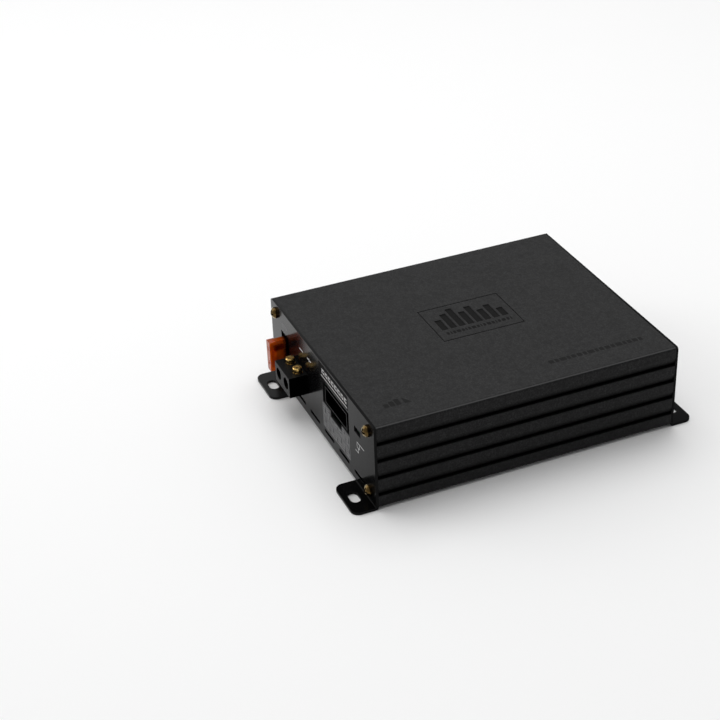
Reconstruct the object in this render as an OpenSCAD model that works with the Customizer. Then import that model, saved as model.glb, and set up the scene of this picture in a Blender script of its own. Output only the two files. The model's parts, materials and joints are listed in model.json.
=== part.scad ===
// Compact four-channel car amplifier: grooved extruded housing, two bent end panels
// whose slotted tabs are its feet, and the parts that it holds.
// X runs across, Y from the connector panel (front, -Y) to the rear, Z up from the feet.

/* [Housing] */
// Width over the side walls
body_w = 148; // [147:1:154]
// Length over both end panels
body_l = 177; // [176:1:190]
// Height of the extrusion
body_h = 48.6; // [48:0.2:52]
// Thickness of the side walls at the flat bands
side_t = 4.6; // [4.4:0.1:5]
// Thickness of the top wall
top_t = 3; // [2.5:0.1:3.2]
// Depth of the grooves along each side
groove_d = 1.7; // [1.2:0.1:2.8]
// Number of grooves on each side
groove_n = 4; // [1:1:4]
// Radius along the two top edges
edge_r = 1.8; // [0.5:0.1:2.4]

/* [Feet and panels] */
// Thickness of the panel sheet
sheet_t = 1.5; // [1.2:0.1:1.6]
// Height of the housing above the surface it stands on
lift = 2; // [1.8:0.1:2.4]
// Width of each foot tab
tab_w = 27.6; // [26:0.2:30]
// How far a tab stands out from its panel
tab_out = 12.7; // [12:0.1:15]
// Corner radius of a tab
tab_r = 4.6; // [2:0.2:5]
// End-to-end length of the slot in a tab
slot_len = 9.6; // [8:0.2:12]
// Width of the slot in a tab
slot_w = 5.6; // [4.5:0.1:6]
// Distance of the slot's centre line from the panel's outer face
slot_out = 6.7; // [6:0.1:7.5]
// Length of a vent slot in the front panel
vent_len = 14; // [10:0.5:16]

/* [Power terminal and fuse] */
// Distance between the two poles
pole_pitch = 11; // [10.8:0.1:11.2]
// Radius of a wire entry
wire_r = 3.4; // [3.2:0.1:3.4]
// Radius of the threaded clamp screws
clamp_r = 2.6; // [2.5:0.1:2.9]
// How far the clamp screws stand out of the block
clamp_up = 3; // [2.9:0.1:4]
// Angle of the clamp screws' slots from the X axis
clamp_slot_turn = 70; // [0:5:175]
// Width of the blade fuse
fuse_w = 19.1; // [19:0.1:19.2]
// Thickness of the blade fuse
fuse_t = 5.1; // [4.8:0.1:5.2]
// How far the fuse stands out of the front panel
fuse_out = 10.4; // [9.6:0.1:11]

/* [Signal sockets] */
// Contacts in each of the two rows of the harness socket
harness_n = 7; // [5:1:7]
// Distance between neighbouring harness contacts
harness_pitch = 4.2; // [3.9:0.1:4.2]
// Distance between the two line-out sockets
line_pitch = 14; // [13:0.5:15]

/* [Hidden] */

$fn = 48;

// Overlap that lets a cutter break cleanly through a face
cut = 1;
// Running clearance of a threaded or turning fit
run = 0.05;
// Gap left between pieces that move apart
gap = 0.3;

// Main planes
front_y = -body_l / 2;
rear_y = body_l / 2;
house_l = body_l - 2 * sheet_t;
z_base = lift;
z_top = lift + body_h;
inner_x = body_w / 2 - side_t;
inner_top = z_top - top_t;

// Side grooves: a sharp lower lip, a low back wall and a long rounded roof
lip_z = z_base + 6.2;
groove_pitch = 10.35;
groove_back = 0.5;
groove_roof = 4.9;
roof_r = (groove_d * groove_d + groove_roof * groove_roof) / (2 * groove_d);

// Screw channels for the end panels
channel_x = body_w / 2 - 8;
channel_low = z_base + 5.8;
channel_high = z_top - 5.8;
channel_r = 3.6;
panel_screw_r = 1.9;
panel_screw_len = 10;
panel_head_r = 3.3;
panel_head_h = 3.1;

// Bottom cover and the flanges it is screwed to
cover_t = 1.5;
cover_top = z_base + cover_t;
flange_in = inner_x - 12.4;
flange_t = 2.5;
cover_screw_x = inner_x - 9.4;
cover_screw_y = [-70, 0, 70];
cover_screw_r = 1.45;
cover_head_r = 2.8;
cover_head_h = 1.4;

// Feet
tab_x = body_w / 2 - tab_w / 2;
slot_y = front_y - slot_out;

// Level display sunk into the top, read from the right side
mark_x = -3.75;
mark_y = 3.7;
mark_w = 35.3;
mark_l = 49.2;
mark_line = 0.6;
mark_deep = 0.3;
level_foot = 6.6;
level_bars = [11, 16, 20, 14, 18, 12, 15, 9];
level_bar_w = 3.9;
level_pitch = 5.25;

// Front vents
vent_n = 6;
vent_pitch = 21.05;
vent_h = 2;
vent_z = z_base + 5.35;

// Terminal block
block_x = -30.1;
block_w = 21.8;
block_out = 11;
block_z = z_base + 15.3;
block_h = 12.4;
block_in = 8.5;
wire_z = z_base + 22;
entry_wall = 2;
screw_y = front_y - 3.8;
cage_w = 8.6;
cage_d = 9.2;
cage_z = block_z + 0.7;
cage_h = 11.1;
tail_w = 4;
tail_t = 1.2;
tail_y = front_y + block_in - 2;
clamp_slot_w = 0.9;
clamp_slot_deep = 1.3;
clamp_tip = 1;
clamp_rim = 0.5;
pad_t = 0.6;
pad_r = clamp_r - 0.5;
pad_z = wire_z + wire_r;
clamp_len = block_z + block_h + clamp_up - pad_z - pad_t - run;

// Fuse and its holder
fuse_x = -53.2;
fuse_z = z_base + 24;
fuse_body_d = 12.2;
blade_t = 0.7;
blade_w = 5.2;
blade_z = 4.65;
blade_len = 7.3;
fuse_cut_w = 11.2;
fuse_cut_h = 23;
seat_y = front_y - fuse_out + fuse_body_d;
holder_face = seat_y + gap;
holder_w = fuse_cut_w + 0.2;
holder_h = fuse_cut_h + 1.2;
strip_off = 2.4;
clip_t = 0.6;
clip_y = seat_y + blade_len + 0.6;
holder_end = clip_y + clip_t + 0.3;

// Boards
board_t = 1.6;
board_z = 12;
board_top = board_z + board_t;
board_w = 2 * inner_x - 1.8;
lead_end = board_z - 0.5;
tail_end = board_z - 1.5;
signal_z = 25.3;
signal_top = signal_z + board_t;
signal_x = [0, 66.5];
signal_y = [front_y + 2.5, -20];
dsp_z = 32.2;
dsp_top = dsp_z + board_t;
dsp_x = [39, 66];
dsp_y = [front_y + 3.2, -46];
standoff_at = [[-44.4, -78], [50, -78], [-50, 24], [50, 24], [-52, 66], [52, 78]];
standoff_r = 3;
spacer_at = [[4, -66], [4, -25], [62.5, -66], [62.5, -25]];
m3_r = 1.45;
m3_hole = 1.7;
m3_head_r = 2.7;
m3_head_h = 1.8;

// Harness socket
harness_x = 22;
harness_w = (harness_n - 1) * harness_pitch + 5.4;
harness_h = 10.6;
harness_cut_w = 36.5;
harness_cut_z = [z_base + 24, z_base + 37.8];
latch_cut_w = 15;
latch_cut_h = 3.6;
harness_wall = 0.8;
harness_front = front_y + 0.2;
harness_depth = 10;
harness_back = 3;
pin_s = 1;

// Data socket
usb_x = 51.7;
usb_w = 7.6;
usb_h = 3;
usb_wall = 0.4;
usb_front = front_y + sheet_t + 0.5;
usb_len = 9;

// Power devices on the side walls
device_z = 26.6;
transistor_t = 4.5;
transistor_z = 20;
transistor_lead_r = 0.45;
module_t = 5;
module_z = 18;
module_lead_r = 0.35;
lead_in = 2.6;
bar_hole_deep = 3.6;
pad_gap = 0.3;
transistor_y = [for (i = [0:5]) -45 + 18 * i];
module_y = [8, 52];
bar_t = 2;
bar_h = 5;
left_bar_screw_y = [-36, 0, 36];
right_bar_screw_y = [-13, 30, 73];

// Places of the tall parts on the main board
choke_at = [-43, -50];
supply_can_at = [for (i = [0:3]) [-14, -66 + 18 * i]];
rail_can_at = [for (i = [0:3]) [-14, 10 + 16 * i]];
transformer_at = [-40, -6];
rail_choke_at = [[-37, 28], [-37, 52]];
inductor_at = [for (x = [12, 30]) for (y = [30, 49]) [x, y]];
film_at = [for (x = [5, 15, 25, 35]) for (y = [14, 64]) [x, y]];

// Rear sockets
line_x = -37;
line_z = 24;
line_collar_r = 5.5;
line_sleeve_r = 4.15;
line_core_r = 3.4;
line_bore_r = 2.2;
line_contact_r = 1.65;
line_out = 9.5;
optical_x = -3;
optical_w = 10;
optical_h = 10.4;
optical_face = rear_y - 0.3;
optical_depth = 14;
aperture = 6.6;
optical_mid = board_top + optical_h / 2;
hinge_z = optical_mid + 2.35;
hinge_y = optical_face - 0.9;
hinge_r = 0.45;
remote_x = 15;
remote_w = 13;
remote_h = 13.4;
module_x = 34;
module_w = 14;
module_h = 11.4;
light_x = 45.5;
light_z = 20;
light_r = 1.5;

// ---------- shared shapes ----------

// Plate with round corners, centred on X and Y
module round_plate(w, d, r, h) {
    for (x = [-1, 1]) {
        for (y = [-1, 1]) {
            translate([x * (w / 2 - r), y * (d / 2 - r), 0]) cylinder(r = r, h = h);
        }
    }
    translate([-w / 2 + r, -d / 2, 0]) cube([w - 2 * r, d, h]);
    translate([-w / 2, -d / 2 + r, 0]) cube([w, d - 2 * r, h]);
}

// Slot with round ends, lying along X
module obround(len, w, h) {
    for (x = [-1, 1]) {
        translate([x * (len - w) / 2, 0, 0]) cylinder(d = w, h = h);
    }
    translate([-(len - w) / 2, -w / 2, 0]) cube([len - w, w, h]);
}

// Box given by its lowest and highest corners
module block(lo, hi) {
    translate(lo) cube(hi - lo);
}

// Round bar that starts at a point and runs along +X, or along -X where side is -1
module bar_x(at, r, h, side = 1) {
    translate(at) rotate([0, side * 90, 0]) cylinder(r = r, h = h);
}

// Round bar that starts at a point and runs along -Y
module bar_y(at, r, h) {
    translate(at) rotate([90, 0, 0]) cylinder(r = r, h = h);
}

// Domed pan-head screw with a cross recess, its head above z = 0 and its shank below
module pan_screw(head_r, head_h, shank_r, shank_l) {
    dome_r = (head_r * head_r + head_h * head_h) / (2 * head_h) * 1.15;
    recess = head_r * 0.32;
    difference() {
        union() {
            intersection() {
                cylinder(r = head_r, h = head_h);
                translate([0, 0, head_h - dome_r]) sphere(r = dome_r);
            }
            translate([0, 0, -shank_l]) cylinder(r = shank_r, h = shank_l);
        }
        for (a = [0, 90]) {
            rotate([0, 0, a]) translate([-head_r * 0.65, -recess / 2, head_h * 0.4]) {
                cube([head_r * 1.3, recess, head_h]);
            }
        }
    }
}

// Plain machine screw with a low flat head
module small_screw(head_r, head_h, shank_r, shank_l) {
    difference() {
        union() {
            cylinder(r = head_r, h = head_h);
            translate([0, 0, -shank_l]) cylinder(r = shank_r, h = shank_l);
        }
        for (a = [0, 90]) {
            rotate([0, 0, a]) translate([-head_r * 0.6, -0.4, head_h * 0.4]) {
                cube([head_r * 1.2, 0.8, head_h]);
            }
        }
    }
}

// ---------- housing ----------

// Cutter of one groove on the right side, whose lip is at z
module groove(z) {
    x = body_w / 2;
    tall = groove_back + groove_roof;
    difference() {
        translate([x - groove_d, z]) square([groove_d + cut, tall]);
        translate([x - roof_r, z + tall]) circle(r = roof_r);
    }
}

// Cross-section with round top edges, open at the bottom
module housing_profile() {
    difference() {
        union() {
            translate([-body_w / 2, z_base]) square([body_w, body_h - edge_r]);
            translate([-body_w / 2 + edge_r, z_base]) square([body_w - 2 * edge_r, body_h]);
            for (s = [-1, 1]) {
                translate([s * (body_w / 2 - edge_r), z_top - edge_r]) circle(r = edge_r);
            }
        }
        translate([-inner_x, z_base - cut]) square([2 * inner_x, body_h - top_t + cut]);
        for (flip = [0, 1]) {
            mirror([flip, 0]) for (i = [0:groove_n - 1]) {
                groove(lip_z + i * groove_pitch);
            }
        }
    }
}

// Cutter of the shallow frame and its row of level bars
module level_mark() {
    inset = mark_l / 2 - (len(level_bars) * level_pitch + level_bar_w - level_pitch) / 2;
    translate([mark_x, mark_y, z_top - mark_deep]) {
        difference() {
            translate([-mark_w / 2, -mark_l / 2, 0]) cube([mark_w, mark_l, cut]);
            translate([-mark_w / 2 + mark_line, -mark_l / 2 + mark_line, -cut]) {
                cube([mark_w - 2 * mark_line, mark_l - 2 * mark_line, 3 * cut]);
            }
        }
        for (i = [0:len(level_bars) - 1]) {
            translate([level_foot - level_bars[i], inset - mark_l / 2 + i * level_pitch, 0]) {
                cube([level_bars[i], level_bar_w, cut]);
            }
        }
    }
}

module housing() {
    color("#2a2b2d") difference() {
        union() {
            translate([0, house_l / 2, 0]) rotate([90, 0, 0]) {
                linear_extrude(height = house_l) housing_profile();
            }
            for (s = [-1, 1]) {
                for (z = [channel_low, channel_high]) {
                    bar_y([s * channel_x, house_l / 2, z], channel_r, house_l);
                }
                flange_x = s > 0 ? flange_in : -inner_x - 0.5;
                translate([flange_x, -house_l / 2, cover_top]) {
                    cube([inner_x + 0.5 - flange_in, house_l, flange_t]);
                }
            }
        }
        for (s = [-1, 1]) {
            for (z = [channel_low, channel_high]) {
                bar_y([s * channel_x, body_l / 2, z], panel_screw_r + run, body_l);
            }
            for (y = cover_screw_y) {
                translate([s * cover_screw_x, y, cover_top - cut]) {
                    cylinder(r = cover_screw_r + run, h = flange_t + 2 * cut);
                }
            }
        }
        for (y = left_bar_screw_y) {
            bar_x([-inner_x + cut, y, device_z], m3_r + run, bar_hole_deep + cut, -1);
        }
        for (y = right_bar_screw_y) {
            bar_x([inner_x - cut, y, device_z], m3_r + run, bar_hole_deep + cut);
        }
        level_mark();
    }
}

module bottom_cover() {
    w = 2 * inner_x - 0.4;
    color("#1d1e20") difference() {
        block([-w / 2, -house_l / 2 + 0.1, z_base], [w / 2, house_l / 2 - 0.1, cover_top]);
        for (s = [-1, 1]) {
            for (y = cover_screw_y) {
                translate([s * cover_screw_x, y, z_base - cut]) cylinder(r = 1.7, h = cover_t + 2 * cut);
            }
        }
        for (p = standoff_at) {
            translate([p[0], p[1], z_base - cut]) cylinder(r = 1.9 + run, h = cover_t + 2 * cut);
        }
    }
}

module cover_screws() {
    color("#202022") for (s = [-1, 1]) {
        for (y = cover_screw_y) {
            translate([s * cover_screw_x, y, z_base]) mirror([0, 0, 1]) {
                small_screw(cover_head_r, cover_head_h, cover_screw_r, cover_t + flange_t);
            }
        }
    }
}

// ---------- end panels ----------

// One foot: a quarter bend out of the panel and a slotted plate
module foot_tab() {
    bend_y = front_y + sheet_t - lift;
    tip_y = front_y - tab_out;
    difference() {
        union() {
            difference() {
                bar_x([-tab_w / 2, bend_y, lift], lift, tab_w);
                bar_x([-tab_w / 2 - cut, bend_y, lift], lift - sheet_t, tab_w + 2 * cut);
                block([-tab_w, bend_y - lift - cut, -cut], [tab_w, bend_y, 2 * lift + cut]);
                block([-tab_w, bend_y - lift - cut, lift], [tab_w, bend_y + lift + cut, 2 * lift + cut]);
            }
            translate([0, (tip_y + bend_y) / 2, 0]) round_plate(tab_w, bend_y - tip_y, tab_r, sheet_t);
            block([-tab_w / 2, tip_y + tab_r, 0], [tab_w / 2, bend_y, sheet_t]);
        }
        translate([0, slot_y, -cut]) obround(slot_len, slot_w, sheet_t + 2 * cut);
    }
}

// Sheet with its two feet and the four screw holes
module panel_blank() {
    difference() {
        translate([0, front_y + sheet_t, z_base + body_h / 2]) rotate([90, 0, 0]) {
            round_plate(body_w, body_h, edge_r, sheet_t);
        }
        for (s = [-1, 1]) {
            for (z = [channel_low, channel_high]) {
                bar_y([s * channel_x, front_y + sheet_t + cut, z], panel_screw_r + 0.2, sheet_t + 2 * cut);
            }
        }
    }
    for (s = [-1, 1]) {
        translate([s * tab_x, 0, 0]) foot_tab();
        corner_x = s > 0 ? body_w / 2 - edge_r : -body_w / 2;
        block([corner_x, front_y, z_base], [corner_x + edge_r, front_y + sheet_t, z_base + edge_r]);
    }
}

// Cutter through a panel at y, from x0 to x1 and z0 to z1
module panel_window(y, x0, x1, z0, z1) {
    block([x0, y - cut, z0], [x1, y + sheet_t + cut, z1]);
}

module front_panel() {
    color("#3a3b3e") difference() {
        panel_blank();
        panel_window(front_y, block_x - block_w / 2 - 0.2, block_x + block_w / 2 + 0.2,
            block_z - 0.2, block_z + block_h + 0.2);
        panel_window(front_y, fuse_x - fuse_cut_w / 2, fuse_x + fuse_cut_w / 2,
            fuse_z - fuse_cut_h / 2, fuse_z + fuse_cut_h / 2);
        panel_window(front_y, harness_x - harness_cut_w / 2, harness_x + harness_cut_w / 2,
            harness_cut_z[0], harness_cut_z[1]);
        panel_window(front_y, harness_x - latch_cut_w / 2, harness_x + latch_cut_w / 2,
            harness_cut_z[0] - latch_cut_h, harness_cut_z[0] + cut);
        panel_window(front_y, usb_x - usb_w / 2 - gap, usb_x + usb_w / 2 + gap,
            dsp_top - gap, dsp_top + usb_h + gap);
        for (i = [0:vent_n - 1]) {
            vent_x = (i - (vent_n - 1) / 2) * vent_pitch;
            translate([vent_x, front_y + sheet_t + cut, vent_z]) rotate([90, 0, 0]) {
                obround(vent_len, vent_h, sheet_t + 2 * cut);
            }
        }
    }
}

// Cutter through the rear panel around a socket that stands on the main board
module socket_window(x, w, h) {
    panel_window(rear_y - sheet_t, x - w / 2 - 0.2, x + w / 2 + 0.2, board_top - 0.2, board_top + h + 0.2);
}

module rear_panel() {
    color("#3a3b3e") difference() {
        mirror([0, 1, 0]) panel_blank();
        for (s = [-1, 1]) {
            bar_y([line_at(s), rear_y + cut, line_z], line_collar_r + 0.2, sheet_t + 2 * cut);
        }
        socket_window(optical_x, optical_w, optical_h);
        socket_window(remote_x, remote_w, remote_h);
        socket_window(module_x, module_w, module_h);
        bar_y([light_x, rear_y + cut, light_z], light_r + 0.1, sheet_t + 2 * cut);
    }
}

module panel_screws() {
    color("#b58b3a") for (end = [0, 1]) {
        mirror([0, end, 0]) for (s = [-1, 1]) {
            for (z = [channel_low, channel_high]) {
                translate([s * channel_x, front_y, z]) rotate([90, 0, 0]) {
                    pan_screw(panel_head_r, panel_head_h, panel_screw_r, panel_screw_len);
                }
            }
        }
    }
}

// ---------- power terminal ----------

// Centre of a pole: -1 is the left one
function pole_x(s) = block_x + s * pole_pitch / 2;

module terminal_block() {
    y0 = front_y - block_out;
    y1 = front_y + block_in;
    color("#18191b") difference() {
        union() {
            block([block_x - block_w / 2, y0, block_z], [block_x + block_w / 2, y1, block_z + block_h]);
            block([block_x - block_w / 2, y1 - 6, board_top], [block_x + block_w / 2, y1, block_z]);
        }
        for (s = [-1, 1]) {
            bar_y([pole_x(s), y0 + entry_wall + cut, wire_z], wire_r + 0.1, entry_wall + 2 * cut);
            block([pole_x(s) - cage_w / 2 - run, y0 + entry_wall, cage_z],
                [pole_x(s) + cage_w / 2 + run, y1 + cut, cage_z + cage_h]);
            translate([pole_x(s), screw_y, cage_z + cage_h - cut]) {
                cylinder(r = clamp_r + gap, h = block_h);
            }
            block([pole_x(s) - 2.2, y1 - 3.2, board_top - cut], [pole_x(s) + 2.2, y1 + cut, cage_z + cut]);
        }
    }
}

module clamp_bodies() {
    y0 = screw_y - cage_d / 2;
    y1 = screw_y + cage_d / 2;
    color("#c9a255") for (s = [-1, 1]) {
        x = pole_x(s);
        difference() {
            block([x - cage_w / 2, y0, cage_z], [x + cage_w / 2, y1, cage_z + cage_h]);
            bar_y([x, y1 + cut, wire_z], wire_r, cage_d + 2 * cut);
            translate([x, screw_y, wire_z]) cylinder(r = clamp_r + run, h = cage_h);
        }
        block([x - tail_w / 2, y1, cage_z], [x + tail_w / 2, tail_y, cage_z + tail_t]);
        block([x - tail_w / 2, tail_y - tail_t, tail_end], [x + tail_w / 2, tail_y, cage_z]);
    }
}

module clamp_screw(s) {
    top = block_z + block_h + clamp_up;
    color("#c9a255") translate([pole_x(s), screw_y, top - clamp_len]) difference() {
        union() {
            translate([0, 0, clamp_tip]) cylinder(r = clamp_r, h = clamp_len - clamp_tip - clamp_rim);
            cylinder(r1 = clamp_r - clamp_tip, r2 = clamp_r, h = clamp_tip);
            translate([0, 0, clamp_len - clamp_rim]) {
                cylinder(r1 = clamp_r, r2 = clamp_r - clamp_rim, h = clamp_rim);
            }
        }
        rotate([0, 0, clamp_slot_turn]) {
            translate([-clamp_r - cut, -clamp_slot_w / 2, clamp_len - clamp_slot_deep]) {
                cube([2 * clamp_r + 2 * cut, clamp_slot_w, 2 * clamp_slot_deep]);
            }
        }
    }
}

module clamp_screw_left() {
    clamp_screw(-1);
}

module clamp_screw_right() {
    clamp_screw(1);
}

// Swivelling disc under a clamp screw that presses on the wire
module clamp_pad(s) {
    color("#b9b9b4") translate([pole_x(s), screw_y, pad_z]) cylinder(r = pad_r, h = pad_t);
}

module clamp_pad_left() {
    clamp_pad(-1);
}

module clamp_pad_right() {
    clamp_pad(1);
}

// ---------- fuse ----------

// Housing of the clips, which closes the window from behind the panel
module fuse_holder() {
    x0 = fuse_x - holder_w / 2;
    x1 = fuse_x + holder_w / 2;
    color("#141416") difference() {
        union() {
            block([x0, holder_face, fuse_z - holder_h / 2], [x1, holder_end, fuse_z + holder_h / 2]);
            block([x0, holder_end - 7, board_top], [x1, holder_end, fuse_z]);
        }
        for (s = [-1, 1]) {
            strip_x = fuse_x + s * strip_off;
            top = fuse_z + s * blade_z + 3;
            block([fuse_x - 1.5, holder_face - cut, top - 6], [fuse_x + 1.5, holder_end + cut, top]);
            block([strip_x - 1.2, clip_y - 0.2, board_top - cut], [strip_x + 1.2, holder_end + cut, top]);
        }
    }
}

// Two sprung leaves around each blade, with a strip down to the board
module fuse_clips() {
    inner = blade_t / 2 + run;
    color("#b8b8b0") for (s = [-1, 1]) {
        z = fuse_z + s * blade_z;
        for (t = [-1, 1]) {
            x = t > 0 ? fuse_x + inner : fuse_x - inner - clip_t;
            block([x, clip_y - 7, z - 2.7], [x + clip_t, clip_y, z + 2.7]);
        }
        strip_x = fuse_x + s * strip_off;
        block([fuse_x - inner - clip_t, clip_y, z - 2.7],
            [fuse_x + inner + clip_t, clip_y + clip_t, z + 2.7]);
        block([min(strip_x - 1, fuse_x), clip_y, z - 1],
            [max(strip_x + 1, fuse_x), clip_y + clip_t, z + 1]);
        block([strip_x - 1, clip_y, tail_end], [strip_x + 1, clip_y + clip_t, z + 1]);
    }
}

// Hollow body closed around both blades, with a test opening over each of them
module fuse_body() {
    y0 = front_y - fuse_out;
    grip = 3;
    color([0.86, 0.33, 0.08, 0.85]) difference() {
        union() {
            translate([fuse_x, y0 + 4, fuse_z]) rotate([90, 0, 0]) round_plate(fuse_t, fuse_w, 0.8, 4);
            block([fuse_x - fuse_t / 2 + 0.6, y0 + 4, fuse_z - fuse_w / 2 + 0.4],
                [fuse_x + fuse_t / 2 - 0.6, seat_y, fuse_z + fuse_w / 2 - 0.4]);
            for (z = [-1, 1]) {
                block([fuse_x - fuse_t / 2, y0 + 4, fuse_z + z * 7.6 - 1.2],
                    [fuse_x + fuse_t / 2, seat_y - 1, fuse_z + z * 7.6 + 1.2]);
            }
        }
        block([fuse_x - 0.9, y0 + 1.2, fuse_z - 7.6], [fuse_x + 0.9, seat_y - grip, fuse_z + 7.6]);
        for (s = [-1, 1]) {
            z = fuse_z + s * blade_z;
            block([fuse_x - 0.6, y0 - cut, z - 1.2], [fuse_x + 0.6, y0 + 2, z + 1.2]);
            block([fuse_x - blade_t / 2, seat_y - grip - cut, z - blade_w / 2],
                [fuse_x + blade_t / 2, seat_y + cut, z + blade_w / 2]);
        }
    }
}

// Both blades and the bridge between them, one stamping
module fuse_link() {
    neck_y = seat_y - 8;
    color("#bfc0bd") {
        for (s = [-1, 1]) {
            z = fuse_z + s * blade_z;
            block([fuse_x - blade_t / 2, neck_y, z - blade_w / 2],
                [fuse_x + blade_t / 2, seat_y + blade_len, z + blade_w / 2]);
        }
        block([fuse_x - blade_t / 2, neck_y + 0.5, fuse_z - blade_z],
            [fuse_x + blade_t / 2, neck_y + 3, fuse_z + blade_z]);
    }
}

// ---------- signal sockets ----------

// Contact rows of the harness socket
function harness_row_z(r) = signal_top + harness_h / 2 + r * harness_pitch / 2;
function harness_col_x(i) = harness_x + (i - (harness_n - 1) / 2) * harness_pitch;
harness_end = harness_front + harness_depth + harness_back;

module harness_socket() {
    color("#1b1b1d") difference() {
        block([harness_x - harness_w / 2, harness_front, signal_top],
            [harness_x + harness_w / 2, harness_end, signal_top + harness_h]);
        block([harness_x - harness_w / 2 + harness_wall, harness_front - cut, signal_top + harness_wall],
            [harness_x + harness_w / 2 - harness_wall, harness_front + harness_depth,
            signal_top + harness_h - harness_wall]);
        for (i = [0:harness_n - 1]) {
            for (r = [-1, 1]) {
                block([harness_col_x(i) - pin_s / 2, harness_front, harness_row_z(r) - pin_s / 2],
                    [harness_col_x(i) + pin_s / 2, harness_end + cut, harness_row_z(r) + pin_s / 2]);
            }
        }
    }
}

module harness_pins() {
    color("#c6b37a") for (i = [0:harness_n - 1]) {
        for (r = [-1, 1]) {
            x = harness_col_x(i) - pin_s / 2;
            z = harness_row_z(r) - pin_s / 2;
            foot_y = harness_end + 2 + 1.5 * (r + 1);
            block([x, harness_front + 4.5, z], [x + pin_s, foot_y, z + pin_s]);
            block([x, foot_y - pin_s, signal_z - 1.5], [x + pin_s, foot_y, z]);
        }
    }
}

module usb_shell() {
    color("#b4b6b8") difference() {
        block([usb_x - usb_w / 2, usb_front, dsp_top],
            [usb_x + usb_w / 2, usb_front + usb_len, dsp_top + usb_h]);
        block([usb_x - usb_w / 2 + usb_wall, usb_front - cut, dsp_top + usb_wall],
            [usb_x + usb_w / 2 - usb_wall, usb_front + usb_len - 1, dsp_top + usb_h - usb_wall]);
    }
}

module usb_tongue() {
    color("#202022") {
        block([usb_x - 2.6, usb_front + 1.5, dsp_top + usb_h / 2 - 0.3],
            [usb_x + 2.6, usb_front + 6.5, dsp_top + usb_h / 2 + 0.4]);
        block([usb_x - usb_w / 2 + usb_wall, usb_front + 6.5, dsp_top + usb_wall],
            [usb_x + usb_w / 2 - usb_wall, usb_front + usb_len - 1, dsp_top + usb_h - usb_wall]);
    }
}

// ---------- boards and what holds them ----------

// Upright rods at the places of the transistor leads
module transistor_rods(r, z0, z1) {
    for (y = transistor_y) {
        for (d = [-2.54, 0, 2.54]) {
            translate([-inner_x + lead_in, y + d, z0]) cylinder(r = r, h = z1 - z0);
        }
    }
}

// Upright rods at the places of the amplifier module leads
module module_rods(r, z0, z1) {
    for (y = module_y) {
        for (i = [-6:6]) {
            translate([inner_x - lead_in, y + i * 2, z0]) cylinder(r = r, h = z1 - z0);
        }
    }
}

module main_board() {
    color("#1f5a3a") difference() {
        block([-board_w / 2, front_y + 2.5, board_z], [board_w / 2, rear_y - 2.5, board_top]);
        for (p = standoff_at) {
            translate([p[0], p[1], board_z - cut]) cylinder(r = m3_hole, h = board_t + 2 * cut);
        }
        for (s = [-1, 1]) {
            strip_x = fuse_x + s * strip_off;
            block([pole_x(s) - tail_w / 2 - 0.1, tail_y - tail_t - 0.1, board_z - cut],
                [pole_x(s) + tail_w / 2 + 0.1, tail_y + 0.1, board_top + cut]);
            block([strip_x - 1.1, clip_y - 0.1, board_z - cut],
                [strip_x + 1.1, clip_y + clip_t + 0.1, board_top + cut]);
        }
        transistor_rods(transistor_lead_r + 0.15, board_z - cut, board_top + cut);
        module_rods(module_lead_r + 0.15, board_z - cut, board_top + cut);
    }
}

module standoffs() {
    color("#a9abad") for (p = standoff_at) {
        translate([p[0], p[1], 0]) difference() {
            union() {
                translate([0, 0, cover_top]) cylinder(r = standoff_r, h = board_z - cover_top);
                translate([0, 0, z_base]) cylinder(r = 1.9, h = cover_t);
            }
            translate([0, 0, 5]) cylinder(r = m3_r + run, h = board_z);
        }
    }
}

module board_screws() {
    color("#a9abad") for (p = standoff_at) {
        translate([p[0], p[1], board_top]) small_screw(m3_head_r, m3_head_h, m3_r, 7.5);
    }
}

module insulating_sheet() {
    color("#d8d2b0") difference() {
        block([-54, -80, cover_top], [54, 80, cover_top + 0.3]);
        for (p = standoff_at) {
            translate([p[0], p[1], cover_top - cut]) cylinder(r = standoff_r + 0.5, h = 3);
        }
    }
}

module signal_board() {
    color("#1f5a3a") difference() {
        block([signal_x[0], signal_y[0], signal_z], [signal_x[1], signal_y[1], signal_top]);
        for (p = spacer_at) {
            translate([p[0], p[1], signal_z - cut]) cylinder(r = m3_hole, h = board_t + 2 * cut);
        }
        for (i = [0:harness_n - 1]) {
            for (r = [-1, 1]) {
                foot_y = harness_end + 2 + 1.5 * (r + 1);
                x = harness_col_x(i);
                block([x - pin_s / 2 - 0.1, foot_y - pin_s - 0.1, signal_z - cut],
                    [x + pin_s / 2 + 0.1, foot_y + 0.1, signal_top + cut]);
            }
        }
    }
}

module spacers() {
    color("#c9a255") for (p = spacer_at) {
        translate([p[0], p[1], board_top]) difference() {
            cylinder(r = 2.7, h = signal_z - board_top);
            translate([0, 0, 4]) cylinder(r = m3_r + run, h = signal_z);
        }
    }
}

module spacer_screws() {
    color("#a9abad") for (p = spacer_at) {
        translate([p[0], p[1], signal_top]) small_screw(m3_head_r, m3_head_h, m3_r, 6);
    }
}

// Stacking connector between the two boards
module board_link() {
    color("#202022") {
        block([12, -27, board_top], [44, -22, board_top + 8.5]);
        block([13, -26.5, board_top + 8.5], [43, -22.5, signal_z]);
    }
}

module dsp_board() {
    color("#17442d") block([dsp_x[0], dsp_y[0], dsp_z], [dsp_x[1], dsp_y[1], dsp_top]);
}

module dsp_connectors() {
    color("#202022") for (x = [42, 56.5]) {
        block([x - 1.25, -80, signal_top], [x + 1.25, -50, dsp_z]);
    }
}

module dsp_chip() {
    color("#1a1a1c") {
        block([45.5, -70, dsp_top], [57.5, -58, dsp_top + 1.2]);
        block([43, -55, dsp_top], [48, -50, dsp_top + 1]);
        block([10, -60, signal_top], [18, -52, signal_top + 1.2]);
        block([24, -60, signal_top], [32, -52, signal_top + 1.2]);
    }
}

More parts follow.
